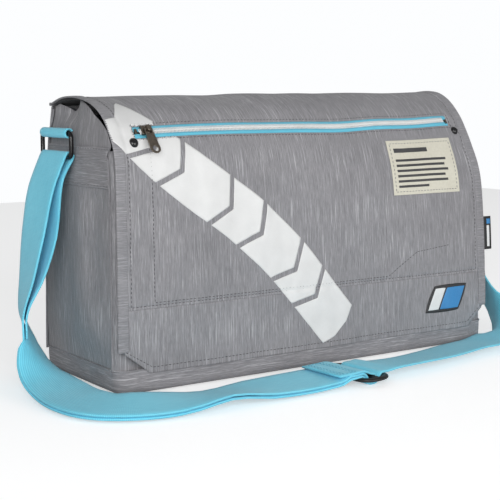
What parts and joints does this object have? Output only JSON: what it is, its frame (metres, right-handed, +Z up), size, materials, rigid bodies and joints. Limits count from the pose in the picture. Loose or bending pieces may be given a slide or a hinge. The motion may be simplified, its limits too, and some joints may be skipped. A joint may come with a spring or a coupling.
{
  "type": "shoulder bag for table tennis bats",
  "caption": "Flap-over fabric shoulder bag for bats, with a zip pocket in the flap and an adjustable webbing strap.",
  "frame": {"origin": "middle of the base's underside", "axes": "+X to the right along the front, +Y from the front to the back, +Z up"},
  "size_m": [0.5243, 0.2282, 0.2515],
  "materials": {
    "fabric_grey": "grey melange woven polyester, matt with a slight sheen",
    "band_grey": "the same cloth cut across the weave",
    "lining": "smooth dark woven lining",
    "foam": "soft foam padding",
    "board": "matt moulded stiffener board",
    "webbing": "light blue woven webbing, satin",
    "zip_tape": "light blue woven zip tape",
    "zip_coil": "white moulded coil",
    "gunmetal": "polished dark bronze plating",
    "black_metal": "glossy black enamel",
    "black_plastic": "semi-gloss black moulded plastic",
    "label_cotton": "unbleached cotton, matt",
    "badge_rubber": "moulded soft rubber",
    "print_white": "thick white screen print",
    "hook_loop": "black hook and loop tape",
    "thread": "sewing thread"
  },
  "bodies": {
    "bag": {"base_panel": "band_grey", "base_stiffener": "board", "base_band": "band_grey", "front_panel": "fabric_grey", "back_panel": "fabric_grey", "back_padding": "foam", "side_panel_left": "fabric_grey", "side_panel_right": "fabric_grey", "side_band_left": "band_grey", "side_band_right": "band_grey", "strap_anchor_left": "webbing", "strap_anchor_right": "webbing", "body_lining": "lining", "inner_pocket": "lining", "loop_strip_left": "hook_loop", "loop_strip_right": "hook_loop"},
    "flap_top": {"flap_top_panel": "fabric_grey", "flap_top_lining": "lining"},
    "flap_front": {"flap_front_panel": "fabric_grey", "flap_lower_band": "fabric_grey", "flap_edge_left": "band_grey", "flap_edge_right": "band_grey", "flap_front_lining": "lining", "zip_pocket_lining": "lining", "rivet_left": "black_metal", "rivet_washer_left": "black_metal", "rivet_right": "black_metal", "rivet_washer_right": "black_metal", "zip_tape_upper": "zip_tape", "zip_tape_lower": "zip_tape", "zip_coil": "zip_coil", "zip_stop_left": "zip_coil", "zip_stop_right": "zip_coil", "label_patch": "label_cotton", "badge": "badge_rubber", "side_tag": "black_plastic", "hook_strip_left": "hook_loop", "hook_strip_right": "hook_loop"},
    "slider": {"zip_slider": "gunmetal"},
    "puller": {"zip_puller": "gunmetal"},
    "strap": {"strap_ring_left": "black_metal", "tab_loop_left": "webbing", "strap_ring_right": "black_metal", "tab_loop_right": "webbing", "strap_webbing": "webbing", "strap_adjuster": "black_plastic"}
  },
  "joints": [
    {"name": "flap_hinge", "type": "hinge", "parent": "bag", "child": "flap_top", "pos_m": [0, 0.05, 0.24], "axis": [-1, 0, 0], "range_deg": [0, 180]},
    {"name": "flap_fold", "type": "hinge", "parent": "flap_top", "child": "flap_front", "pos_m": [0, 0.005, 0.2496], "axis": [-0.9999, -0.0143, -0.0083], "range_deg": [0, 120]},
    {"name": "zip_slide", "type": "slide", "parent": "flap_front", "child": "slider", "axis": [0.9982, 0.0594, 0.0095], "range_m": [0, 0.348]},
    {"name": "puller_swing", "type": "hinge", "parent": "slider", "child": "puller", "pos_m": [-0.174, -0.05994, 0.22056], "axis": [-0.9982, -0.0594, -0.0095], "range_deg": [0, 150]},
    {"name": "strap_swing", "type": "hinge", "parent": "bag", "child": "strap", "pos_m": [0, 0.022, 0.216], "axis": [-1, 0, 0], "range_deg": [0, 140]}
  ]
}
